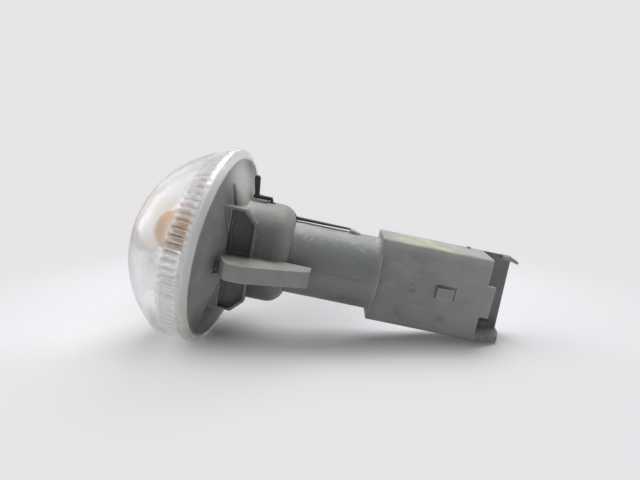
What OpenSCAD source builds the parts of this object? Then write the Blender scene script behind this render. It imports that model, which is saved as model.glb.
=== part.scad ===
// Round side repeater lamp for a car's front wing.
// A clear domed lens is welded to a grey housing. A bulb holder with a two-way
// plug socket is pushed into the housing's barrel from behind.
//
// X runs along the barrel and the bulb holder, away from the lens. Z is up.
// The origin is on that axis, where it crosses the seat that meets the panel.
// The head, which is the lens, its rim and the flange, is raked to the axis.

/* [Head] */
// Radius of the lens's rim, the widest part of the lamp
rim_r = 23; // [20:0.1:27]
// Turn of the head towards the latch side, in plan
rake_side = 6.74; // [0:0.01:12]
// Tilt of the head, seen from the side
rake_up = 2.27; // [0:0.01:6]
// Height of the head's centre below the barrel's axis
head_drop = 1.04; // [0:0.01:3]
// Thickness of the rim along the head's own axis
rim_t = 2.6; // [1.6:0.1:4]
// Length of the bevel on the back of the rim
bevel = 1.05; // [0.4:0.05:2]

/* [Lens] */
// Height of the dome's crown in front of the seat
dome_h = 21.08; // [15:0.01:26]
// Height of the straight wall below the dome
wall_h = 5.72; // [3:0.01:8]
// Height of the dome's centre below the head's centre
dome_drop = 1.62; // [0:0.01:4]
// Wall of the lens
lens_wall = 2.0; // [1.2:0.1:3]
// Number of light-spreading grooves around the inside of the wall
flutes = 84; // [30:1:100]
// Length of each groove
flute_len = 4.3; // [1:0.1:5]
// Depth of each groove
flute_depth = 0.6; // [0.2:0.05:0.8]
// Least wall left outside the grooves
flute_skin = 0.8; // [0.5:0.05:1.2]

/* [Housing] */
// Thickness of the flange
flange_t = 1.6; // [1:0.1:3]
// Height of the cone behind the flange
cone_h = 3.6; // [2:0.1:6]
// Radius of the barrel
barrel_r = 11.5; // [9.6:0.1:14]
// Distance from the seat to the barrel's end
barrel_len = 15.2; // [12:0.1:22]
// Radius of the barrel's rounded shoulder
shoulder_r = 4.2; // [1:0.1:5]
// Half of the square base's width, across the barrel
base_half_y = 12.2; // [10:0.1:14]
// Height of the square base's top above the axis
base_top = 11.0; // [9:0.1:14]
// Depth of the square base's underside below the axis
base_bottom = 11.6; // [9:0.1:14]
// Distance from the seat to the back of the square base
base_len = 7.5; // [5:0.1:10]
// Chamfer on the square base's back edges
base_chamfer = 2.6; // [0.5:0.1:4]
// Thickness of the lip around the pocket in the square base's side
lip_t = 0.45; // [0.3:0.05:1]
// Wall between the side pocket and the bore
side_wall = 1.6; // [1:0.1:2.4]

/* [Latch] */
// Height of the latch, top to bottom
latch_h = 3.5; // [2:0.1:6]
// Height of the latch's top above the axis
latch_top = 1.0; // [-2:0.1:4]
// Distance from the latch's crest to the flange's edge, measured from the side
latch_inset = 1.35; // [0.5:0.05:3]
// Distance from the seat to the latch's tip
latch_tip = 20.2; // [16:0.1:24]

/* [Bulb holder] */
// Radius of the neck
neck_r = 8.5; // [7:0.1:10]
// Distance from the seat to the plug socket's back
socket_back = 34.9; // [28:0.1:40]
// Distance from the seat to the end of the socket's near wall
socket_mouth = 60.0; // [52:0.1:66]
// Distance from the seat to the end of the socket's far wall
far_wall_end = 67.6; // [61:0.1:72]
// Width of the socket
socket_w = 11.0; // [8:0.1:14]
// Height of the socket
socket_h = 19.5; // [14:0.1:24]
// Wall of the socket
socket_wall = 1.4; // [1:0.1:2]
// Radius of the rounded edges along the socket
socket_round = 0.8; // [0.2:0.1:1.2]
// Depth of the socket from the near wall's end
socket_depth = 12; // [8:0.1:18]

/* [Spring] */
// Thickness of the sheet that the spring is stamped from, across the lamp
spring_w = 1.2; // [0.6:0.1:3]
// Height of the spring's strip, seen from the side
spring_t = 0.75; // [0.4:0.05:1]
// Width of the pad under the spring
pad_w = 3.6; // [2:0.1:6]
// Distance from the seat to the end of the spring's flat
spring_flat_end = 8.05; // [6:0.05:10]
// Distance from the seat to the end of the spring's tail
spring_end = 27.4; // [22:0.1:32]
// Height of the finger above the spring's flat
finger_h = 4.5; // [2:0.1:6]

/* [Terminals] */
// Height of each terminal above or below the axis
blade_z = 3.0; // [2.4:0.05:4]
// Width of a terminal
blade_w = 2.8; // [2:0.1:4]
// Thickness of a terminal
blade_t = 0.8; // [0.5:0.05:1]

/* [Bulb] */
// Radius of the glass
bulb_r = 5.0; // [4:0.1:6]
// Clearance between the bulb's tip and the lens
bulb_room = 1.2; // [1:0.01:6]
// Wall of the glass
bulb_wall = 0.6; // [0.4:0.05:1]
// Half of the thickness of the flat pinch
pinch_half = 1.0; // [0.8:0.05:1.4]

/* [Reflector] */
// Depth of the reflector's bowl, from the front of the rim to its lowest point
bowl_depth = 6.5; // [4:0.1:8]
// Wall of the bowl
bowl_wall = 1.0; // [0.6:0.1:1.6]

/* [Hidden] */
// Clearance between round faces of different pieces
gap = 0.3;
// Clearance around pieces that slide in a slot
slot_gap = 0.1;
// Overlap that joins the features of one moulding
join = 0.5;

// Recess in the back of the lens, where the flange sits
recess_r = rim_r - 1.65;
flange_r = recess_r - gap;
lens_inner_r = recess_r - 0.45;

// The dome is the sphere through its crown and the top of the straight wall
cap_h = dome_h - wall_h;
dome_r = (rim_r * rim_r + cap_h * cap_h) / (2 * cap_h);
dome_back = dome_r - dome_h;
flute_back = -bevel - 0.2;

// The reflector's bowl and the hollow behind it share one centre
mouth_r = recess_r - 0.15;
bowl_r = (mouth_r * mouth_r + bowl_depth * bowl_depth) / (2 * bowl_depth);
bowl_low = bowl_depth - rim_t;
bowl_x = bowl_low - bowl_r;
bulb_hole_r = bulb_r + 2.0;

bore_r = neck_r + gap;
cone_r1 = flange_r - 1.25;
cone_r2 = barrel_r + 1.0;
pocket_x = 1.95;
pocket_floor = bore_r + side_wall;
plate_t = base_half_y - pocket_floor + 0.3;
latch_reach = flange_r - latch_inset;

// The neck starts just behind the bowl
neck_front = bowl_low + 1.1;

shoulder_x = barrel_len - shoulder_r;

// The spring's strip steps down from the flat, runs two thirds of the way up the barrel's wall,
// and dips to the neck on its way to the barrel's end
spring_start = 4.1;
spring_step = spring_flat_end + 0.75;
spring_z = barrel_r + 0.4;
spring_low = bore_r + (barrel_r - bore_r) * 2 / 3;
spring_rest = neck_r + 0.35;
dip_start = spring_step + (barrel_len - spring_step) * 0.34375;
dip_end = spring_step + (barrel_len - spring_step) * 0.75;

seal_x = barrel_len - 3.4;
seal_r = 1.0;
bulb_tip = dome_h - lens_wall - bulb_room;
pinch_back = neck_front + 4.2;
pinch_w = 9.2;
lead_y = 2.0;
lead_r = 0.3;
filament_x = -bulb_tip / 2;

smooth = 96;

// The piece to draw, or all of them

// Places what is drawn in the raked head's own frame
module in_head() {
    translate([0, 0, -head_drop])
        rotate([0, rake_up, -rake_side])
            children();
}

// A round bar along X
module bar(r, from, to, r_end = -1) {
    translate([from, 0, 0])
        rotate([0, 90, 0])
            cylinder(r1 = r, r2 = r_end < 0 ? r : r_end, h = to - from, $fn = smooth);
}

// A box given by its two corners
module block(low, high) {
    translate(low)
        cube(high - low);
}

// A ring around X with a round section
module round_ring(r, x, section) {
    translate([x, 0, 0])
        rotate([0, 90, 0])
            rotate_extrude($fn = smooth)
                translate([r, 0])
                    circle(r = section, $fn = 32);
}

// A shape drawn in the XZ plane and made to a width across Y
module across(width) {
    translate([0, width / 2, 0])
        rotate([90, 0, 0])
            linear_extrude(height = width)
                children();
}

module dome(r, drop) {
    translate([dome_back, 0, -drop])
        sphere(r = r, $fn = smooth);
}

// The hollow of the housing behind the reflector, with a wall left around it
module bowl_hollow(wall) {
    in_head()
        translate([bowl_x, 0, 0])
            sphere(r = bowl_r + gap + wall, $fn = smooth);
}

// The ring of grooves that spread the light sideways, on the inside of the lens's wall
module flute_ring() {
    crest = lens_inner_r - 0.5;
    root = recess_r + flute_depth - 0.15;
    step = 360 / flutes;
    translate([flute_back - flute_len, 0, 0])
        rotate([90, 0, 90])
            linear_extrude(height = flute_len)
                polygon([for (i = [0 : flutes - 1], k = [0 : 3])
                    let (r = k == 0 || k == 3 ? crest : root, a = step * (i + [0.14, 0.38, 0.62, 0.86][k]))
                        [r * cos(a), r * sin(a)]]);
}

module lens() {
    color([0.93, 0.94, 0.94, 0.35])
    in_head()
    difference() {
        union() {
            intersection() {
                dome(dome_r, dome_drop);
                bar(rim_r, -dome_r, -bevel - 0.6);
            }
            bar(rim_r, -bevel - 1, -bevel);
            bar(rim_r, -bevel, 0, recess_r + 0.35);
        }
        intersection() {
            dome(dome_r - lens_wall, dome_drop / 2);
            bar(lens_inner_r, -dome_r, -rim_t + 1);
        }
        bar(recess_r, -rim_t, 1);
        // The grooves leave a skin under the dome's outside
        intersection() {
            flute_ring();
            dome(dome_r - flute_skin, dome_drop);
        }
    }
}

// The wedge on the near side that snaps behind the panel
module latch() {
    translate([0, 0, latch_top - latch_h])
        linear_extrude(height = latch_h)
            polygon([[2.2, -latch_reach + 2.6], [3.4, -latch_reach + 0.4], [4.2, -latch_reach + 0.05],
                     [7.0, -latch_reach], [12.4, -latch_reach + 2.2], [latch_tip - 0.5, -14.3],
                     [latch_tip, -13.9], [latch_tip + 0.2, -barrel_r + 1.3],
                     [barrel_len - 0.6, -barrel_r + 1.3], [barrel_len - 4, -barrel_r + 1.9],
                     [1.0, -barrel_r + 1.9], [1.0, -barrel_r - 2.1]]);
}

// The square base's side view, drawn smaller by an inset
module base_side(inset) {
    back = base_len - inset;
    top = base_top - inset;
    bottom = base_bottom - inset;
    polygon([[-1, -bottom], [back - base_chamfer, -bottom], [back, -bottom + base_chamfer],
             [back, top - base_chamfer], [back - base_chamfer, top], [-1, top]]);
}

// The square base: a core between two side plates
module base_block() {
    across(2 * (base_half_y - plate_t))
        base_side(lip_t + 0.1);
    for (side = [-1, 1])
        translate([0, side * (base_half_y - plate_t / 2), 0])
            across(plate_t)
                base_side(0);
}

// The pocket in the square base's near side, open towards the cone
module side_pocket() {
    difference() {
        translate([0, -pocket_floor - rim_r / 2, 0])
            across(rim_r)
                intersection() {
                    base_side(lip_t);
                    translate([pocket_x, -rim_r])
                        square([rim_r, 2 * rim_r]);
                }
        bowl_hollow(0.7);
    }
}

// The barrel, with its rounded shoulder
module barrel() {
    bar(barrel_r, 0, shoulder_x);
    round_ring(barrel_r - shoulder_r, shoulder_x, shoulder_r);
    bar(barrel_r - shoulder_r, 0, barrel_len);
}

// The narrow groove that runs up the cone from the side pocket, and the recess at the latch's root
module cone_groove() {
    translate([0, -7.9, 15.5])
        rotate([-13.8, 0, 0]) {
            block([0.2, -0.7, -5.8], [8, 0.7, 0]);
            translate([0.2, 0, 0])
                rotate([0, 90, 0])
                    cylinder(r = 0.7, h = 7.8, $fn = 32);
        }
    block([0.3, -15.1, -1.9], [4, -barrel_r - 1.7, 0.9]);
}

// The way for the spring through the barrel's wall and out at the shoulder
module spring_tunnel() {
    open_x = spring_flat_end + 1.3;
    roof = spring_low + 0.15;
    across(spring_w + 0.8)
        polygon([[spring_flat_end - 0.35, bore_r - 1], [spring_flat_end - 0.35, barrel_r + 2],
                 [open_x, barrel_r + 2], [open_x, roof], [dip_start + 0.1, roof],
                 [dip_end + 0.1, spring_rest + 1.05], [barrel_len + 1, spring_rest + 0.8],
                 [barrel_len + 1, bore_r - 1]]);
}

module housing() {
    color([0.42, 0.42, 0.40])
    difference() {
        union() {
            difference() {
                union() {
                    difference() {
                        in_head() {
                            bar(flange_r, -flange_t, 0);
                            bar(cone_r1, -join, 0);
                            bar(cone_r1, 0, cone_h, cone_r2);
                        }
                        difference() {
                            in_head()
                                cone_groove();
                            bowl_hollow(0.45);
                        }
                    }
                    difference() {
                        union() {
                            base_block();
                            barrel();
                        }
                        // Nothing of the base reaches the front of the flange
                        in_head()
                            bar(rim_r, -12, -flange_t + 0.4);
                    }
                }
                side_pocket();
            }
            latch();
            // Pad under the spring's flat
            block([4, -pad_w / 2, base_top - 2], [spring_flat_end - 0.45, pad_w / 2, spring_z]);
        }
        bowl_hollow(0);
        // Bore for the bulb holder
        bar(bore_r, -3, barrel_len + 1);
        spring_tunnel();
    }
}

module reflector() {
    color([0.85, 0.86, 0.87])
    in_head()
        rotate([0, 90, 0])
            rotate_extrude($fn = smooth)
                difference() {
                    union() {
                        intersection() {
                            translate([0, bowl_x])
                                circle(r = bowl_r, $fn = 360);
                            translate([bulb_hole_r, -rim_t])
                                square([flange_r - bulb_hole_r, 2 * bowl_depth]);
                        }
                        translate([bulb_hole_r, -rim_t])
                            square([flange_r - bulb_hole_r, rim_t - flange_t]);
                    }
                    translate([0, bowl_x])
                        circle(r = bowl_r - bowl_wall, $fn = 360);
                }
}

// The black spring strip on top: a finger, a flat, and a tail along the neck
module retaining_spring() {
    finger_r = 0.63;
    finger_x = spring_start + 0.21;
    color([0.17, 0.165, 0.175])
    across(spring_w)
        union() {
            polygon([[spring_start, spring_z], [spring_flat_end, spring_z],
                     [spring_step, spring_low - spring_t],
                     [dip_start, spring_low - spring_t], [dip_end, spring_rest + 0.1],
                     [barrel_len, spring_rest], [spring_end, spring_rest + 0.15],
                     [spring_end, spring_rest + 0.45], [barrel_len, spring_rest + 0.6],
                     [dip_end, spring_rest + 0.9],
                     [dip_start, spring_low], [spring_step + 0.4, spring_low],
                     [spring_flat_end + 0.35, spring_z + spring_t],
                     [spring_start, spring_z + spring_t]]);
            polygon([[spring_start + 0.4, spring_z + 0.2], [spring_start + 1.3, spring_z + 0.2],
                     [finger_x + finger_r, spring_z + finger_h],
                     [finger_x - finger_r, spring_z + finger_h]]);
            translate([finger_x, spring_z + finger_h])
                circle(r = finger_r, $fn = 32);
        }
}

module upper_channel() {
    block([neck_front - 1, -blade_w / 2 - slot_gap, blade_z - blade_t / 2 - slot_gap],
          [socket_mouth - socket_depth + 1, blade_w / 2 + slot_gap, blade_z + blade_t / 2 + slot_gap]);
    block([neck_front - 1, -blade_w / 2 - slot_gap, 0],
          [pinch_back + 0.9, blade_w / 2 + slot_gap, blade_z + blade_t / 2 + slot_gap]);
}

// A box along X with rounded long edges, the socket's outline or drawn smaller by an inset
module socket_box(from, to, inset, corner) {
    w = socket_w - 2 * inset;
    h = socket_h - 2 * inset;
    translate([from, 0, 0])
        rotate([90, 0, 90])
            linear_extrude(height = to - from)
                union() {
                    square([w - 2 * corner, h], center = true);
                    square([w, h - 2 * corner], center = true);
                    for (y = [-1, 1], z = [-1, 1])
                        translate([y * (w / 2 - corner), z * (h / 2 - corner)])
                            circle(r = corner, $fn = 32);
                }
}

// The ramp that locks the plug, standing in its shallow pocket
module locking_ramp() {
    translate([0, -socket_w / 2, -1.3])
        linear_extrude(height = 2.6)
            polygon([[49.1, 0.8], [49.1, -0.75], [50.5, -0.75], [53.0, -0.1], [53.0, 0.8]]);
}

// What runs past the socket's mouth: a tab, the far wall with its lip, and the slanted floor
module mouth_walls() {
    half_w = socket_w / 2;
    half_h = socket_h / 2;
    in_w = half_w - socket_wall;
    start = socket_mouth - 1;
    intersection() {
        union() {
            block([start, -half_w, -3.7], [socket_mouth + 2, -in_w, 3.6]);
            translate([0, (in_w + half_w) / 2, 0])
                across(socket_wall)
                    polygon([[start, -half_h], [far_wall_end + 0.5, -half_h],
                             [far_wall_end - 0.6, half_h], [start, half_h]]);
            translate([0, 0, -half_h])
                linear_extrude(height = socket_wall)
                    polygon([[start, -half_w], [socket_mouth + 0.8, -half_w],
                             [far_wall_end - 1.2, -2.7], [far_wall_end - 0.1, 0.4],
                             [far_wall_end + 0.5, half_w], [start, half_w]]);
        }
        socket_box(start - 1, far_wall_end + 1, 0, socket_round);
    }
    // Lip that curls down at the top of the far wall's end
    translate([0, (2.8 + half_w) / 2, 0])
        across(half_w - 2.8)
            union() {
                polygon([[far_wall_end - 2.8, half_h - 0.9], [far_wall_end - 2.8, half_h],
                         [far_wall_end - 0.9, half_h - 0.05], [far_wall_end + 0.1, half_h - 0.38],
                         [far_wall_end + 0.78, half_h - 0.76], [far_wall_end + 0.54, half_h - 1.36],
                         [far_wall_end - 0.4, half_h - 1.05]]);
                translate([far_wall_end + 0.66, half_h - 1.06])
                    circle(r = 0.33, $fn = 32);
            }
}

module bulb_holder() {
    half_w = socket_w / 2;
    half_h = socket_h / 2;
    in_w = half_w - socket_wall;
    in_h = half_h - socket_wall;
    color([0.38, 0.40, 0.41])
    difference() {
        union() {
            difference() {
                union() {
                    bar(neck_r, neck_front, socket_back + join);
                    socket_box(socket_back, socket_mouth, 0, socket_round);
                    mouth_walls();
                }
                socket_box(socket_mouth - socket_depth, socket_mouth + 1, socket_wall, 0.4);
                // Pocket around the locking ramp
                block([48.7, -half_w - 1, -1.3], [53.4, -half_w + 0.35, 1.9]);
            }
            locking_ramp();
            // Rib in the corner of the far wall and the floor
            block([socket_mouth - 6, in_w - 1.6, -in_h - 0.2], [far_wall_end - 1.4, in_w + 0.2, -in_h + 1.2]);
            // Keeper on the neck that stops the spring's tail
            across(spring_w + 1.2)
                polygon([[spring_end + 0.1, neck_r - 1.5], [spring_end + 0.1, neck_r + 0.65],
                         [spring_end + 0.7, neck_r + 0.6], [spring_end + 2.6, neck_r],
                         [spring_end + 2.6, neck_r - 1.5]]);
            // Gate mark on the socket's top
            translate([socket_mouth - 3.6, half_w - 1.5, half_h - 0.2])
                cylinder(r = 0.5, h = 0.5, $fn = 32);
        }
        // Channels for the terminals
        upper_channel();
        mirror([0, 0, 1])
            upper_channel();
        // Slot for the bulb's pinch and its folded leads
        block([neck_front - 1, -pinch_w / 2 - 0.2, -pinch_half - 0.75],
              [pinch_back + 0.9, pinch_w / 2 + 0.2, pinch_half + 0.75]);
        // Groove for the seal
        difference() {
            bar(neck_r + 1, seal_x - seal_r - slot_gap, seal_x + seal_r + slot_gap);
            bar(neck_r - 2.2, seal_x - 3, seal_x + 3);
        }
    }
}

module holder_seal() {
    color([0.08, 0.08, 0.08])
        round_ring(neck_r - 0.95, seal_x, seal_r);
}

module bulb_glass() {
    tip_x = -bulb_tip + bulb_r;
    foot_x = neck_front - 3.6;
    color([0.95, 0.55, 0.15, 0.6])
    difference() {
        union() {
            bar(bulb_r, tip_x, foot_x);
            translate([tip_x, 0, 0])
                sphere(r = bulb_r, $fn = 64);
            bar(bulb_r, foot_x, foot_x + 2.2, bulb_r - 1.8);
            block([foot_x + 0.6, -pinch_w / 2 + 1.4, -pinch_half],
                  [neck_front - 0.8, pinch_w / 2 - 1.4, pinch_half]);
            block([neck_front - 1.8, -pinch_w / 2, -pinch_half], [pinch_back, pinch_w / 2, pinch_half]);
        }
        bar(bulb_r - bulb_wall, tip_x, foot_x - 0.2);
        translate([tip_x, 0, 0])
            sphere(r = bulb_r - bulb_wall, $fn = 64);
        // Passages for the two leads
        for (y = [-lead_y, lead_y])
            translate([0, y, 0])
                bar(lead_r + slot_gap, 0, pinch_back + 1);
    }
}

module filament() {
    color([0.55, 0.55, 0.56])
    translate([filament_x, 0, 0])
        rotate([90, 0, 0])
            translate([0, 0, -lead_y + lead_r])
                cylinder(r = 0.35, h = 2 * (lead_y - lead_r), $fn = 24);
}

// One lead: a straight wire through the pinch, folded back on its face
module lead() {
    translate([0, lead_y, 0])
        bar(lead_r, filament_x - 0.5, pinch_back + 0.3);
    block([pinch_back + 0.1, lead_y - lead_r, -lead_r], [pinch_back + 0.6, lead_y + lead_r, pinch_half + 0.5]);
    block([neck_front + 0.6, -1.2, pinch_half], [pinch_back + 0.6, lead_y + lead_r, pinch_half + 0.5]);
}

module upper_lead() {
    color([0.6, 0.6, 0.58])
        lead();
}

module lower_lead() {
    color([0.6, 0.6, 0.58])
        rotate([180, 0, 0])
            lead();
}

// One terminal: a blade for the plug, with a nose that presses on the lead
module terminal() {
    block([neck_front + 0.2, -blade_w / 2, blade_z - blade_t / 2],
          [socket_mouth - 2.6, blade_w / 2, blade_z + blade_t / 2]);
    block([socket_mouth - 2.8, -blade_w / 2 + 0.5, blade_z - blade_t / 2 + 0.15],
          [socket_mouth - 1.8, blade_w / 2 - 0.5, blade_z + blade_t / 2 - 0.15]);
    block([neck_front + 1.2, -1.1, pinch_half + 0.5],
          [neck_front + 3.6, 1.1, blade_z]);
}

module upper_terminal() {
    color([0.72, 0.66, 0.50])
        terminal();
}

module lower_terminal() {
    color([0.72, 0.66, 0.50])
        mirror([0, 0, 1])
            terminal();
}

lens();
housing();
reflector();
retaining_spring();
bulb_holder();
holder_seal();
bulb_glass();
filament();
upper_lead();
lower_lead();
upper_terminal();
lower_terminal();
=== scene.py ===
import math

import bmesh
import bpy
from mathutils import Matrix, Vector


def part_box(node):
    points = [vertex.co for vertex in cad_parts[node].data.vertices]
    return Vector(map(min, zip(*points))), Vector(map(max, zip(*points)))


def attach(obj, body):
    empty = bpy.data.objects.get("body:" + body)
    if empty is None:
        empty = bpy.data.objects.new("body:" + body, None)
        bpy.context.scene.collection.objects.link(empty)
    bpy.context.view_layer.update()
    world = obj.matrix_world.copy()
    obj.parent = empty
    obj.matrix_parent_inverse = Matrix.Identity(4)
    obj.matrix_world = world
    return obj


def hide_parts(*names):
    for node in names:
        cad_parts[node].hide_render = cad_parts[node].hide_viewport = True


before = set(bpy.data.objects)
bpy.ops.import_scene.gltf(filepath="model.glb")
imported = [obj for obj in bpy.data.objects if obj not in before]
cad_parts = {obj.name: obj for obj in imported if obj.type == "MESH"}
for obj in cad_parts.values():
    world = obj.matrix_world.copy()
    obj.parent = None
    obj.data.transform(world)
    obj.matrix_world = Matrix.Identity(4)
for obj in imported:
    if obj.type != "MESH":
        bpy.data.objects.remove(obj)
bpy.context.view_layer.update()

MM = 0.001

# The head, which is the lens, its rim and the flange, is raked to the barrel, and sits lower
HEAD_RAKE = math.radians(6.74)
HEAD_TILT = math.radians(2.27)
HEAD_DROP = 1.04
HEAD_TURN = Matrix.Rotation(-HEAD_RAKE, 3, "Z") @ Matrix.Rotation(HEAD_TILT, 3, "Y")

# Places on the lens in millimetres along the head's axis, where the seat is at 0
RIM_BACK = -1.2
RIM_FRONT = -2.6
WALL_FRONT = -5.8
GROOVES = 84

# Places on the housing, in millimetres from the lamp's origin
BASE_SIDE = 12.2
BASE_TOP = 11.0
BASE_END = 7.5
BARREL_END = 15.2

# Places on the bulb holder, in millimetres from the lamp's origin
NECK_RADIUS = 8.5
SOCKET_BACK = 35.0
SOCKET_MOUTH = 60.0
SOCKET_SIDE = 5.5
SOCKET_TOP = 9.8

# Camera, matched to the photograph by its aim, distance and three turns
PHOTO_WIDTH = 640
FOCAL_PIXELS = 500.0
SENSOR = 36.0
AIM = Vector((21.072, 0, 5.157)) * MM
DISTANCE = 116.717 * MM
AZIMUTH, ELEVATION, ROLL = (math.radians(turn) for turn in (-0.692, 12.471, 11.827))


def add_camera():
    back = Vector((
        math.sin(AZIMUTH) * math.cos(ELEVATION),
        -math.cos(AZIMUTH) * math.cos(ELEVATION),
        math.sin(ELEVATION),
    ))
    right = Vector((0, 0, 1)).cross(back).normalized()
    up = back.cross(right)
    rolled_right = right * math.cos(ROLL) + up * math.sin(ROLL)
    rolled_up = up * math.cos(ROLL) - right * math.sin(ROLL)
    place = Matrix((rolled_right, rolled_up, back)).transposed().to_4x4()
    place.translation = AIM + back * DISTANCE
    data = bpy.data.cameras.new("camera")
    data.sensor_width = SENSOR
    data.lens = SENSOR * FOCAL_PIXELS / PHOTO_WIDTH
    data.clip_start, data.clip_end = 0.005, 20
    camera = bpy.data.objects.new("camera", data)
    camera.matrix_world = place
    bpy.context.scene.collection.objects.link(camera)
    bpy.context.scene.camera = camera


add_camera()


# Tools for the finishes
class Shade:
    """A number in a shader. Arithmetic on it adds Math nodes."""

    def __init__(self, finish, socket):
        self.finish = finish
        self.socket = socket

    def math(self, operation, *others):
        made = self.finish.node("ShaderNodeMath", {"operation": operation}, (self, *others))
        return Shade(self.finish, made.outputs[0])

    def __add__(self, other):
        return self.math("ADD", other)

    def __mul__(self, other):
        return self.math("MULTIPLY", other)

    def __sub__(self, other):
        return self.math("SUBTRACT", other)

    def __rsub__(self, other):
        made = self.finish.node("ShaderNodeMath", {"operation": "SUBTRACT"}, (other, self))
        return Shade(self.finish, made.outputs[0])

    def __pow__(self, other):
        return self.math("POWER", other)

    def __abs__(self):
        return self.math("ABSOLUTE")

    __radd__ = __add__
    __rmul__ = __mul__

    def least(self, other):
        return self.math("MINIMUM", other)

    def most(self, other):
        return self.math("MAXIMUM", other)

    def ramp(self, start, end):
        """0 at start and 1 at end, smooth between and level beyond. Start may be above end."""
        made = self.finish.node(
            "ShaderNodeMapRange",
            {"interpolation_type": "SMOOTHSTEP"},
            {"Value": self, "From Min": start, "From Max": end},
        )
        return Shade(self.finish, made.outputs[0])


class Finish:
    """One material, built node by node."""

    # The Mix node's sockets for colours, which share their names with those for numbers
    MIX_FIRST, MIX_SECOND, MIX_RESULT = 6, 7, 2

    def __init__(self, name):
        self.material = bpy.data.materials.new(name)
        self.material.use_nodes = True
        self.tree = self.material.node_tree
        self.tree.nodes.clear()
        self.out = self.node("ShaderNodeOutputMaterial")
        self.place = self.node("ShaderNodeTexCoord").outputs["Object"]

    def node(self, kind, settings=None, values=()):
        made = self.tree.nodes.new(kind)
        for name, value in (settings or {}).items():
            setattr(made, name, value)
        pairs = values.items() if isinstance(values, dict) else enumerate(values)
        for key, value in pairs:
            self.feed(made.inputs[key], value)
        return made

    def feed(self, socket, value):
        if isinstance(value, Shade):
            value = value.socket
        if isinstance(value, bpy.types.NodeSocket):
            self.tree.links.new(value, socket)
        elif isinstance(value, tuple) and len(value) == 3 and socket.type == "RGBA":
            socket.default_value = (*value, 1)
        else:
            socket.default_value = value

    def axes(self):
        """The place on the lamp in millimetres, as three numbers."""
        scaled = self.node(
            "ShaderNodeVectorMath", {"operation": "SCALE"}, {0: self.place, "Scale": 1 / MM},
        )
        split = self.node("ShaderNodeSeparateXYZ", None, [scaled.outputs[0]])
        return [Shade(self, socket) for socket in split.outputs]

    def noise(self, size_mm, detail=4.0, rough=0.55, stretch=(1, 1, 1), shift=0.0):
        """Soft noise from 0 to 1, with blotches about size_mm across."""
        moved = self.node(
            "ShaderNodeMapping", {"vector_type": "POINT"},
            {"Vector": self.place, "Scale": stretch, "Location": (shift, shift * 0.7, shift * 0.4)},
        )
        made = self.node(
            "ShaderNodeTexNoise", {"noise_dimensions": "3D"},
            {
                "Vector": moved.outputs[0],
                "Scale": 1 / (size_mm * MM), "Detail": detail, "Roughness": rough,
            },
        )
        return Shade(self, made.outputs["Fac"])

    def mix(self, factor, first, second):
        """Two colours mixed by a factor."""
        made = self.node(
            "ShaderNodeMix", {"data_type": "RGBA", "blend_type": "MIX"},
            {"Factor": factor, self.MIX_FIRST: first, self.MIX_SECOND: second},
        )
        return made.outputs[self.MIX_RESULT]

    def coated(self, base, coats):
        """A colour under coats, each an amount and a colour: dirt, dust, wear, and painted light and shade.
        """
        for amount, colour in coats:
            base = self.mix(amount, base, colour)
        return base

    def bevel(self, radius_mm):
        return self.node("ShaderNodeBevel", {"samples": 4}, {"Radius": radius_mm * MM}).outputs[0]

    def bump(self, height, depth_mm, normal=None):
        values = {"Height": height, "Distance": depth_mm * MM}
        if normal is not None:
            values["Normal"] = normal
        return self.node("ShaderNodeBump", None, values).outputs[0]

    def shader(self, **values):
        """A Principled shader. Underscores in the names stand for spaces."""
        named = {key.replace("_", " "): value for key, value in values.items()}
        return self.node("ShaderNodeBsdfPrincipled", None, named).outputs[0]

    def between(self, factor, first, second):
        """Two shaders mixed by a factor."""
        return self.node("ShaderNodeMixShader", None, [factor, first, second]).outputs[0]

    def ends(self, shader):
        self.feed(self.out.inputs["Surface"], shader)
        return self.material

    def done(self, **values):
        return self.ends(self.shader(**values))

    def worn_and_lit_edges(self, reach_mm):
        """1 along the edges, where the rounded direction departs from the face's own."""
        true = self.node("ShaderNodeNewGeometry").outputs["Normal"]
        dot = self.node(
            "ShaderNodeVectorMath", {"operation": "DOT_PRODUCT"}, [self.bevel(reach_mm), true],
        )
        return Shade(self, dot.outputs["Value"]).ramp(0.99, 0.90)

    def facing_up(self):
        """The height part of the surface's direction, 1 straight up."""
        geometry = self.node("ShaderNodeNewGeometry")
        split = self.node("ShaderNodeSeparateXYZ", None, [geometry.outputs["Normal"]])
        return Shade(self, split.outputs[2])


def near_point(place, centre, reach):
    """1 at a point on the lamp, fading to 0 at the reach, both in millimetres."""
    dx, dy, dz = (part - middle for part, middle in zip(place, centre))
    far = (dx * dx + dy * dy + dz * dz) ** 0.5
    return far.ramp(reach, reach * 0.15)


def on_head(place):
    """The place from the head's own centre, in millimetres: along its axis, across it, and up."""
    x, y, z = place
    return [x * axis.x + y * axis.y + (z + HEAD_DROP) * axis.z for axis in HEAD_TURN.col]


# Bulb holder
def neck_painted_shade(f, place):
    """Painted shade on the neck below its top, darker than the socket, and painted shadow in patches low on
    the side facing the latch.
    """
    x, _, z = place
    # Painted shade on the neck's sides, below its top
    neck = x.ramp(SOCKET_BACK + 2, SOCKET_BACK - 2) * z.ramp(NECK_RADIUS - 0.2, NECK_RADIUS - 2.3)
    patches = f.noise(2.2, shift=8.3).ramp(0.25, 0.6)
    # Painted shadow of the latch, in patches, low on the neck's near side
    latch_shadow = near_point(place, (28.5, -4.5, -7.0), 6.0) * patches
    return [
        (neck * 0.62, (0.20, 0.21, 0.212)),
        (latch_shadow * 0.6, (0.09, 0.09, 0.085)),
    ]


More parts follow.
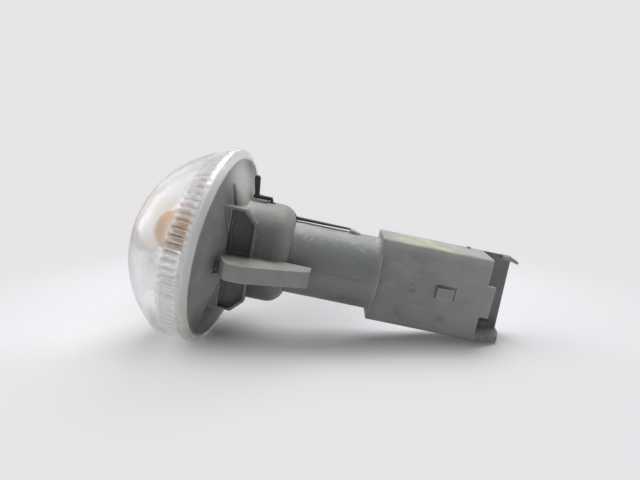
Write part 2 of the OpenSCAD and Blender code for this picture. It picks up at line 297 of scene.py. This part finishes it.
def holder_dust_and_top_light(f, place):
    """Pale on what faces up, partly dust and partly painted top light, strongest beside the barrel, and
    darker again on tops from the neck's end on.
    """
    x = place[0]
    # What faces up: pale coats, partly dust and partly painted top light
    up = f.facing_up().ramp(0.75, 0.97)
    patches = f.noise(3.0, detail=6.0, shift=1.4).ramp(0.3, 0.7)
    return [
        (up * patches * 0.3, (0.52, 0.52, 0.50)),
        # Darker on what faces up from the neck's end on
        (up * x.ramp(26, 31) * 0.3, (0.15, 0.155, 0.155)),
        (up * x.ramp(24, 16) * 0.5, (0.60, 0.60, 0.59)),
    ]


def socket_stain(f, place):
    """Yellow-green stains on the socket: on its top, with two strong spots, and along its bottom."""
    x, _, z = place
    top = x.ramp(SOCKET_BACK, SOCKET_BACK + 6) * x.ramp(SOCKET_MOUTH, SOCKET_MOUTH - 10)
    top = top * z.ramp(SOCKET_TOP - 1.4, SOCKET_TOP - 0.4)
    blotch = f.noise(5.5, detail=4.0, shift=1.9).ramp(0.36, 0.62)
    large_spot = near_point(place, (47.0, -2.0, SOCKET_TOP), 4.6)
    small_spot = near_point(place, (41.0, -0.5, SOCKET_TOP), 4.5)
    broken = f.noise(1.6, detail=5.0, shift=6.1).ramp(0.35, 0.6)
    spots = ((large_spot + small_spot * 0.6) * broken).least(1.0)
    bottom = z.ramp(1.8 - SOCKET_TOP, 0.2 - SOCKET_TOP) * x.ramp(SOCKET_BACK - 1, SOCKET_BACK + 2)
    bottom = bottom * f.noise(3.0, shift=2.7).ramp(0.5, 0.68)
    return [
        (top * blotch * 0.7, (0.60, 0.63, 0.44)),
        (spots * 0.75, (0.46, 0.52, 0.22)),
        (bottom * 0.4, (0.34, 0.37, 0.22)),
    ]


def holder_wear(f, place, cloud):
    """Specks on the neck, and blots, marks, rubbed patches, scratches, and pale edges that are partly wear
    and partly painted highlight.
    """
    x, _, z = place
    speck = f.noise(0.9, detail=3.0, shift=4.4).ramp(0.52, 0.66)
    speck = speck * z.ramp(NECK_RADIUS - 4, NECK_RADIUS - 1.5) * x.ramp(SOCKET_BACK, SOCKET_BACK - 1)
    blot = f.noise(3.6, detail=5.0, rough=0.65, stretch=(0.7, 1, 1), shift=2.3).ramp(0.44, 0.62)
    marks = near_point(place, (43.5, -SOCKET_SIDE, -0.2), 1.8)
    marks = marks + near_point(place, (41.7, -SOCKET_SIDE, -5.9), 1.6)
    marks = (marks + near_point(place, (51.6, -SOCKET_SIDE, -6.3), 1.5)).least(1.0)
    marks = marks * f.noise(1.0, detail=5.0, shift=6.6).ramp(0.4, 0.62)
    rubbed = f.noise(1.1, detail=5.0, stretch=(0.5, 1, 1.6), shift=5.2).ramp(0.55, 0.72)
    rubbed = rubbed * x.ramp(SOCKET_BACK, SOCKET_BACK + 2)
    scratch = f.noise(0.8, detail=6.0, rough=0.7, stretch=(0.35, 1, 2.2), shift=3.6)
    # Pale edges, partly wear and partly painted highlight
    edges = f.worn_and_lit_edges(0.7) * cloud.ramp(0.2, 0.5)
    return [
        (speck * 0.45, (0.60, 0.59, 0.57)),
        (blot * 0.42, (0.235, 0.262, 0.252)),
        (marks * 0.6, (0.13, 0.135, 0.13)),
        (rubbed * 0.4, (0.22, 0.225, 0.225)),
        (scratch.ramp(0.56, 0.68) * 0.28, (0.48, 0.485, 0.48)),
        (edges * 0.5, (0.60, 0.605, 0.60)),
    ]


def socket_painted_light_and_shade(f, place):
    """Painted light on the socket, paler towards its mouth and as a painted highlight along its top edge;
    painted shade on the far wall inside; darker patches low at its mouth.
    """
    x, y, z = place
    # Painted highlight along the near top edge
    top_edge_highlight = z.ramp(SOCKET_TOP - 2.4, SOCKET_TOP - 0.5) * x.ramp(SOCKET_BACK, SOCKET_BACK + 1)
    top_edge_highlight = top_edge_highlight * y.ramp(0.6 - SOCKET_SIDE, 0.1 - SOCKET_SIDE)
    # Darker in patches low at the mouth
    dark_low_mouth = x.ramp(SOCKET_MOUTH - 0.5, SOCKET_MOUTH + 1.5) * z.ramp(-5.5, -7.5)
    dark_low_mouth = dark_low_mouth * f.noise(1.6, shift=9.1).ramp(0.2, 0.55)
    # Painted shade on the far wall's inner face
    far_wall_shade = y.ramp(SOCKET_SIDE - 2.5, SOCKET_SIDE - 1.6) * x.ramp(SOCKET_MOUTH - 0.2, SOCKET_MOUTH + 0.6)
    inner_face = y.ramp(SOCKET_SIDE - 0.15, SOCKET_SIDE - 0.5)
    return [
        # Painted light: paler towards the mouth
        (x.ramp(42, SOCKET_MOUTH - 2) * 0.22, (0.46, 0.465, 0.46)),
        (top_edge_highlight * 0.45, (0.52, 0.525, 0.515)),
        (dark_low_mouth * 0.55, (0.085, 0.08, 0.075)),
        (far_wall_shade * inner_face * 0.5, (0.12, 0.12, 0.125)),
    ]


def holder_plastic():
    """Cool grey moulding, with a parting line along the neck, and painted light and shade."""
    f = Finish("cool_grey_moulding")
    place = x, _, z = f.axes()
    cloud = f.noise(6.0)
    grain = f.noise(0.35, detail=2.0, shift=0.3)
    streak = f.noise(1.6, detail=5.0, stretch=(0.18, 1, 1), shift=0.7)
    seam = abs(z + (x - 20) * 0.02).ramp(0.16, 0.02) * x.ramp(17, 21) * x.ramp(34, 30)
    base = f.mix(cloud.ramp(0.35, 0.7), (0.315, 0.328, 0.328), (0.365, 0.372, 0.370))
    base = f.coated(base, [
        (streak.ramp(0.55, 0.75) * 0.25, (0.43, 0.435, 0.425)),
        *neck_painted_shade(f, place),
        *holder_dust_and_top_light(f, place),
        *socket_stain(f, place),
        *holder_wear(f, place, cloud),
        *socket_painted_light_and_shade(f, place),
        (seam * 0.4, (0.16, 0.165, 0.165)),
    ])
    height = grain * 0.35 + cloud * 0.4 + seam * 1.2
    return f.done(
        Base_Color=base, Roughness=0.46 + cloud * 0.12 + streak * 0.08,
        Specular_IOR_Level=0.5, Normal=f.bump(height, 0.05, f.bevel(0.3)),
    )


# Housing
def housing_painted_light_and_shade(f, place):
    """Painted shade on the barrel's side above the latch, in the latch's gap, in a crease, in patches on
    the flange and in the base's pocket; a painted highlight on the flange.
    """
    x, y, z = place
    # Painted shade on the barrel's near side
    side = y.ramp(-4.0, -8.0) * y.ramp(-1.0 - BASE_SIDE, -0.1 - BASE_SIDE)
    side = side * z.ramp(BASE_TOP + 1, BASE_TOP - 3.5) * z.ramp(-14, -12)
    side = side * x.ramp(BARREL_END + 0.6, BARREL_END - 4.7)
    # Painted shade in the gap between the latch and the flange
    latch_gap_shade = near_point(place, (1.6, -14.0, -1.0), 5.0) * f.noise(2.0, shift=3.3).ramp(0.25, 0.55)
    # Painted highlight high on the flange
    glare = near_point(place, (1.2, -3.5, 16.0), 9.0)
    # Painted shade in the crease above the base
    crease_shade = near_point(place, (1.4, -9.6, 11.5), 5.5)
    # Painted shade in patches on the flange, low and beside the base
    low_shade = near_point(place, (0.5, -12.0, -15.5), 8.0)
    high_shade = near_point(place, (1.0, -13.5, 5.0), 7.5)
    patchy_shade = (low_shade + high_shade * 0.7) * f.noise(2.6, shift=7.3).ramp(0.2, 0.6)
    # Painted shade in the pocket of the base, deepest at its top
    pocket_shade = y.ramp(0.1 - BASE_SIDE, 0.3 - BASE_SIDE) * y.ramp(-9.2, -9.6)
    pocket_shade = pocket_shade * x.ramp(BASE_END - 0.2, BASE_END - 0.35) * z.ramp(BASE_TOP - 0.1, BASE_TOP - 0.3)
    return [
        (side * 0.7, (0.085, 0.083, 0.088)),
        (latch_gap_shade * 0.55, (0.09, 0.09, 0.078)),
        (glare * 0.9, (0.84, 0.83, 0.81)),
        (crease_shade * 0.6, (0.10, 0.10, 0.095)),
        (patchy_shade.least(1.0) * 0.6, (0.12, 0.115, 0.125)),
        (pocket_shade * (0.6 - z.ramp(0, -3) * 0.25), (0.075, 0.075, 0.082)),
    ]


def housing_plastic():
    """Warm grey moulding, paler on what faces up, partly grey-green dust and partly painted top light."""
    f = Finish("warm_grey_moulding")
    place = f.axes()
    cloud = f.noise(5.0)
    grain = f.noise(0.4, detail=2.0, shift=0.5)
    streak = f.noise(1.3, detail=5.0, stretch=(1, 1, 0.25), shift=1.1)
    up = f.facing_up().ramp(0.6, 0.95)
    dust = f.noise(2.2, detail=6.0, shift=2.1).ramp(0.35, 0.65)
    scratch = f.noise(0.9, detail=6.0, rough=0.7, stretch=(1, 0.6, 1.6), shift=4.9)
    edges = f.worn_and_lit_edges(0.6) * cloud.ramp(0.2, 0.5)
    base = f.mix(cloud.ramp(0.35, 0.7), (0.30, 0.297, 0.283), (0.36, 0.356, 0.340))
    base = f.coated(base, [
        (streak.ramp(0.55, 0.75) * 0.25, (0.43, 0.425, 0.40)),
        # Paler on what faces up: partly dust, partly painted top light
        (up * dust * 0.3, (0.47, 0.47, 0.42)),
        # Darker on what faces up from the base's end on
        (up * place[0].ramp(4.5, 7) * 0.4, (0.16, 0.16, 0.15)),
        *housing_painted_light_and_shade(f, place),
        (scratch.ramp(0.55, 0.68) * 0.25, (0.45, 0.445, 0.42)),
        # Pale edges, partly wear and partly painted highlight
        (edges * 0.38, (0.56, 0.555, 0.53)),
    ])
    height = grain * 0.4 + cloud * 0.4 + dust * up * 0.4
    return f.done(
        Base_Color=base, Roughness=0.46 + cloud * 0.12 + dust * 0.1,
        Specular_IOR_Level=0.5, Normal=f.bump(height, 0.06, f.bevel(0.3)),
    )


# Lens
def lens_tint(f, place, haze, along, across, height, rim):
    """The clear moulding's colour, with stains, a scuff, and painted shade of the ring of grooves."""
    green = near_point(place, (-1.0, -13.0, -17.0), 17.0) * f.noise(2.4, shift=1.3).ramp(0.3, 0.62)
    brown = near_point(place, (-0.6, -8.5, -20.3), 2.2)
    scuff = near_point(place, (-10.3, -21.0, -1.3), 3.4)
    scuff = scuff * f.noise(1.3, detail=5.0, shift=3.1).ramp(0.38, 0.58)
    # Painted shade of the grooves: short dark bars, most of all beside the bulb
    ring = along.ramp(RIM_FRONT + 0.1, RIM_FRONT - 0.2) * along.ramp(WALL_FRONT - 0.3, WALL_FRONT)
    angle = height.math("ARCTAN2", across)
    groove_shade_bars = (angle * GROOVES).math("COSINE").ramp(0.2, -0.3) * ring
    bar_shade_strength = 0.3 + near_point(place, (-4.5, -21.5, 3.0), 17) * 0.6
    tint = f.mix(haze.ramp(0.3, 0.7), (0.97, 0.975, 0.975), (0.94, 0.945, 0.94))
    return f.coated(tint, [
        (green * (rim * 0.5 + 0.35), (0.72, 0.74, 0.50)),
        (brown * 0.8, (0.25, 0.15, 0.08)),
        (scuff * 0.55, (0.42, 0.42, 0.43)),
        (groove_shade_bars * bar_shade_strength, (0.44, 0.435, 0.43)),
    ])


def lens_plastic():
    """A clear moulding with a thin haze, milky in its wall and most of all in its rim."""
    f = Finish("clear_moulding")
    place = f.axes()
    along, across, height = on_head(place)
    haze = f.noise(7.0)
    scuff = f.noise(1.2, detail=5.0, stretch=(1, 0.3, 1), shift=0.9)
    rim = along.ramp(RIM_BACK - 0.2, RIM_BACK + 0.2)
    tint = lens_tint(f, place, haze, along, across, height, rim)
    normal = f.bump(haze * 0.7 + scuff * 0.3, 0.08)
    clear = f.shader(
        Base_Color=tint, Roughness=0.005 + haze * 0.015 + scuff.ramp(0.55, 0.8) * 0.03,
        Transmission_Weight=1.0, IOR=1.3, Normal=normal,
    )
    unbent = f.node("ShaderNodeBsdfTransparent", None, {"Color": (0.94, 0.945, 0.945)}).outputs[0]
    milky = f.shader(
        Base_Color=tint, Roughness=0.32 + haze * 0.15,
        Transmission_Weight=0.2, IOR=1.49, Normal=normal,
    )
    wall = along.ramp(WALL_FRONT - 0.3, WALL_FRONT)
    cloudy = haze.ramp(0.4, 0.75) * 0.03 + wall * 0.22 + rim * 0.42
    return f.ends(f.between(cloudy, f.between(0.25, clear, unbent), milky))


# Inner pieces and spring
def reflector_metal():
    f = Finish("metallised_bowl")
    cloud = f.noise(4.0)
    ripple = f.noise(1.1, detail=2.0, shift=0.4)
    base = f.mix(cloud.ramp(0.3, 0.7), (0.93, 0.935, 0.94), (0.84, 0.845, 0.85))
    return f.done(
        Base_Color=base, Metallic=1.0, Roughness=0.16 + cloud * 0.12,
        Normal=f.bump(ripple, 0.12),
    )


def amber_glass():
    """Amber glass with a browner tip."""
    f = Finish("amber_glass")
    x = f.axes()[0]
    cloud = f.noise(3.0)
    base = f.mix(cloud.ramp(0.3, 0.7), (0.72, 0.33, 0.035), (0.58, 0.24, 0.02))
    tip = x.ramp(-12, -17.5) * cloud.ramp(0.25, 0.6)
    base = f.coated(base, [(tip * 0.7, (0.44, 0.27, 0.09))])
    return f.done(
        Base_Color=base, Roughness=0.03 + cloud * 0.04, Transmission_Weight=0.3, IOR=1.4,
        Normal=f.bump(cloud, 0.05),
    )


def spring_steel():
    """Black finish, worn along the strip."""
    f = Finish("blackened_spring_steel")
    cloud = f.noise(1.8)
    line = f.noise(0.5, detail=4.0, stretch=(0.12, 1, 1), shift=0.8)
    worn = line.ramp(0.58, 0.75)
    base = f.mix(cloud.ramp(0.3, 0.7), (0.026, 0.025, 0.028), (0.045, 0.043, 0.046))
    base = f.coated(base, [(worn * 0.35, (0.14, 0.135, 0.13))])
    return f.done(
        Base_Color=base, Metallic=0.25 + worn * 0.4, Roughness=0.38 + cloud * 0.15,
        Normal=f.bump(line, 0.03, f.bevel(0.12)),
    )


def drawn_metal(name, light, bar_shade_strength, roughness):
    """Bright metal with fine lines along X, from drawing or rolling."""
    f = Finish(name)
    cloud = f.noise(1.5)
    line = f.noise(0.3, detail=4.0, stretch=(0.1, 1, 1), shift=0.6)
    return f.done(
        Base_Color=f.mix(cloud.ramp(0.3, 0.7), light, bar_shade_strength),
        Metallic=1.0, Roughness=roughness + line * 0.2, Normal=f.bump(line, 0.02),
    )


def seal_rubber():
    f = Finish("black_seal_rubber")
    cloud = f.noise(1.4)
    grain = f.noise(0.25, detail=3.0)
    base = f.mix(cloud.ramp(0.3, 0.7), (0.020, 0.020, 0.021), (0.040, 0.039, 0.038))
    return f.done(Base_Color=base, Roughness=0.6 + cloud * 0.2, Normal=f.bump(grain, 0.03))


def takes_place(piece, node):
    """Shows the piece instead of its CAD node, fixed to the lamp."""
    bpy.context.scene.collection.objects.link(piece)
    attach(piece, "root")
    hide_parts(node)


def dressed(node, material, smooth_deg=32):
    """A copy of a CAD node with its finish, smooth except at edges sharper than smooth_deg."""
    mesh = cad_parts[node].data.copy()
    form = bmesh.new()
    form.from_mesh(mesh)
    bmesh.ops.remove_doubles(form, verts=form.verts, dist=0.001 * MM)
    for face in form.faces:
        face.smooth = True
    for edge in form.edges:
        sharp = len(edge.link_faces) != 2 or edge.calc_face_angle(0) > math.radians(smooth_deg)
        edge.smooth = not sharp
    form.to_mesh(mesh)
    form.free()
    mesh.materials.clear()
    mesh.materials.append(material)
    takes_place(bpy.data.objects.new(node + "_finished", mesh), node)


def coil(node, turns, radius_mm, wire_mm, material):
    """A wound filament across Y, in the place of its CAD solid."""
    low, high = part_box(node)
    centre = (low + high) / 2
    steps_per_turn, end_share = 14, 0.04
    steps = turns * steps_per_turn
    curve = bpy.data.curves.new(node, "CURVE")
    curve.dimensions = "3D"
    curve.bevel_depth = wire_mm * MM / 2
    curve.bevel_resolution = 2
    line = curve.splines.new("POLY")
    line.points.add(steps)
    for i, point in enumerate(line.points):
        turn = 2 * math.pi * turns * i / steps
        share = end_share + (1 - 2 * end_share) * i / steps
        point.co = (
            centre.x + radius_mm * MM * math.cos(turn),
            low.y + (high.y - low.y) * share,
            centre.z + radius_mm * MM * math.sin(turn),
            1,
        )
    shape = bpy.data.objects.new(node + "_line", curve)
    bpy.context.scene.collection.objects.link(shape)
    bpy.context.view_layer.update()
    solid = shape.evaluated_get(bpy.context.evaluated_depsgraph_get())
    mesh = bpy.data.meshes.new_from_object(solid)
    bpy.data.objects.remove(shape)
    for face in mesh.polygons:
        face.use_smooth = True
    mesh.materials.clear()
    mesh.materials.append(material)
    takes_place(bpy.data.objects.new(node + "_coil", mesh), node)


tungsten = drawn_metal("drawn_tungsten", (0.42, 0.42, 0.45), (0.30, 0.30, 0.32), 0.35)
lead_wire = drawn_metal("plated_lead_wire", (0.70, 0.69, 0.66), (0.52, 0.51, 0.48), 0.28)
tinned_brass = drawn_metal("tinned_brass_strip", (0.74, 0.70, 0.60), (0.62, 0.55, 0.40), 0.25)

dressed("lens", lens_plastic(), smooth_deg=30)
dressed("housing", housing_plastic(), smooth_deg=28)
dressed("bulb_holder", holder_plastic(), smooth_deg=28)
dressed("reflector", reflector_metal())
dressed("retaining_spring", spring_steel(), smooth_deg=24)
dressed("holder_seal", seal_rubber(), smooth_deg=60)
dressed("bulb_glass", amber_glass(), smooth_deg=40)
coil("filament", turns=9, radius_mm=0.30, wire_mm=0.10, material=tungsten)
dressed("upper_lead", lead_wire)
dressed("lower_lead", lead_wire)
dressed("upper_terminal", tinned_brass)
dressed("lower_terminal", tinned_brass)


# Table, light and world
BACKGROUND = (0.795, 0.780, 0.802)
TABLE_LEAN = math.radians(11.6)
TABLE_HEIGHT = -23.3 * MM


def table_finish():
    """A pale matt surface that shows from above only, so that it never hides the lamp.

    Away from the lamp the camera sees one even tone, as of a studio sheet.
    """
    f = Finish("pale_table")
    place = x, y, _ = f.axes()
    cloud = f.noise(60.0)
    base = f.mix(cloud.ramp(0.3, 0.7), (0.810, 0.795, 0.818), (0.795, 0.780, 0.803))
    # A painted shadow just behind the lamp; the real shadow fades quickly in front
    behind = near_point(place, (12, 24, -22), 54)
    base = f.coated(base, [(behind * 0.42, (0.30, 0.295, 0.305))])
    in_front = y.ramp(4, -24) * 0.82
    matt = f.shader(Base_Color=base, Roughness=1.0, Specular_IOR_Level=0.0)
    even = f.node("ShaderNodeEmission", None, {"Color": BACKGROUND, "Strength": 1.0}).outputs[0]
    away = (((x - 20) * (x - 20) + y * y) ** 0.5).ramp(52, 125)
    path = f.node("ShaderNodeLightPath").outputs
    seen = Shade(f, path["Is Camera Ray"]).most(Shade(f, path["Is Transmission Ray"]))
    mirrored = Shade(f, path["Is Glossy Ray"])
    share = (away.most(in_front) * seen).most(away * mirrored)
    clear = f.node("ShaderNodeBsdfTransparent").outputs[0]
    below = f.node("ShaderNodeNewGeometry").outputs["Backfacing"]
    return f.ends(f.between(below, f.between(share, matt, even), clear))


def add_table():
    """A flat table that sweeps up into a backdrop behind the lamp, in metres."""
    half_width, front, back, bend, height = 1.6, 1.0, 0.55, 0.5, 1.6
    bend_steps = 12
    profile = [(-front, 0.0), (back, 0.0)]
    for i in range(1, bend_steps + 1):
        turn = math.pi / 2 * i / bend_steps
        profile.append((back + bend * math.sin(turn), bend * (1 - math.cos(turn))))
    profile.append((back + bend, height))
    lean = Matrix.Rotation(-TABLE_LEAN, 4, "Y")
    form = bmesh.new()
    rows = []
    for depth, rise in profile:
        rows.append([
            form.verts.new(lean @ Vector((side * half_width, depth, rise + TABLE_HEIGHT)))
            for side in (-1, 1)
        ])
    for near, far in zip(rows, rows[1:]):
        face = form.faces.new((near[0], near[1], far[1], far[0]))
        face.smooth = True
    mesh = bpy.data.meshes.new("table")
    form.to_mesh(mesh)
    form.free()
    mesh.materials.append(table_finish())
    table = bpy.data.objects.new("table", mesh)
    bpy.context.scene.collection.objects.link(table)


def add_light(name, place, aim, size, watts):
    data = bpy.data.lights.new(name, "AREA")
    data.shape = "SQUARE"
    data.size = size
    data.energy = watts
    light = bpy.data.objects.new(name, data)
    light.location = place
    light.rotation_mode = "QUATERNION"
    light.rotation_quaternion = (Vector(aim) - Vector(place)).to_track_quat("-Z", "Y")
    bpy.context.scene.collection.objects.link(light)


def add_world():
    """Dim to the lamp, and the sheet's own tone where it is seen, also mirrored or through glass."""
    world = bpy.data.worlds.new("studio")
    bpy.context.scene.world = world
    world.use_nodes = True
    tree = world.node_tree
    dim = tree.nodes["Background"]
    dim.inputs["Color"].default_value = (0.98, 0.98, 1.0, 1)
    dim.inputs["Strength"].default_value = 0.16
    plain = tree.nodes.new("ShaderNodeBackground")
    plain.inputs["Color"].default_value = (*BACKGROUND, 1)
    path = tree.nodes.new("ShaderNodeLightPath")
    seen = path.outputs["Is Camera Ray"]
    for ray in ("Is Transmission Ray", "Is Glossy Ray"):
        either = tree.nodes.new("ShaderNodeMath")
        either.operation = "MAXIMUM"
        tree.links.new(seen, either.inputs[0])
        tree.links.new(path.outputs[ray], either.inputs[1])
        seen = either.outputs[0]
    both = tree.nodes.new("ShaderNodeMixShader")
    tree.links.new(seen, both.inputs[0])
    tree.links.new(dim.outputs[0], both.inputs[1])
    tree.links.new(plain.outputs[0], both.inputs[2])
    tree.links.new(both.outputs[0], tree.nodes["World Output"].inputs["Surface"])


add_table()
add_world()
add_light("overhead", place=(0.0, 0.42, 0.9), aim=(0.02, 0, 0), size=0.7, watts=9.5)
add_light("left_panel", place=(-0.75, 0.15, 0.28), aim=(-0.02, 0, 0), size=0.8, watts=3.5)

bpy.context.scene.view_settings.view_transform = "Standard"
